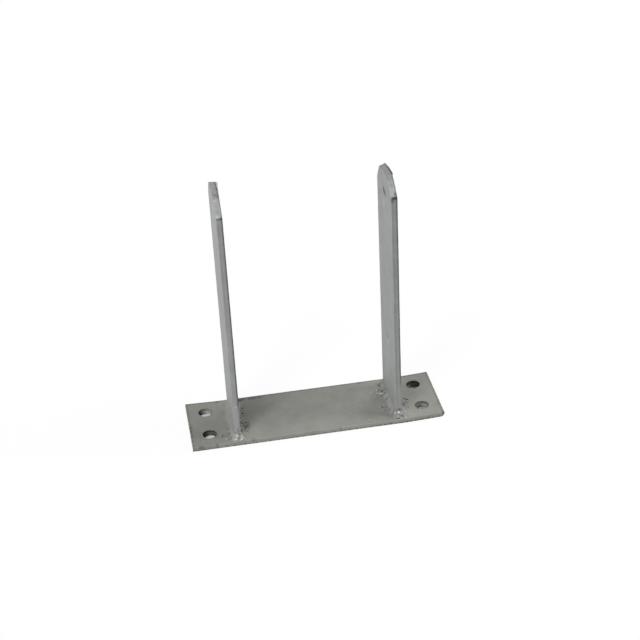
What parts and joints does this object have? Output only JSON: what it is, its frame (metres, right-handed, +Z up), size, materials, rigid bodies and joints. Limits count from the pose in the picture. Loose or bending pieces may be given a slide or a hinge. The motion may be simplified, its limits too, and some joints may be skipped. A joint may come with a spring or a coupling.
{
  "type": "fence post anchor",
  "caption": "Welded steel post anchor: a flat drilled base plate with upright flat-bar blades standing on edge, their tips cropped.",
  "frame": {"origin": "middle of the base plate's underside, the face that the anchor stands on", "axes": "+X along the plate from one blade to the other, +Y across the plate to the back, +Z up along the blades"},
  "size_m": [0.25, 0.075, 0.257],
  "materials": {
    "galvanised_plate": "hot-dip galvanised, dull",
    "galvanised_bar": "hot-dip galvanised, dull",
    "galvanised_weld": "hot-dip galvanised over a hand-laid weld bead"
  },
  "bodies": {
    "root": {"base_plate": "galvanised_plate", "left_blade": "galvanised_bar", "right_blade": "galvanised_bar", "left_weld": "galvanised_weld", "right_weld": "galvanised_weld"}
  },
  "joints": []
}
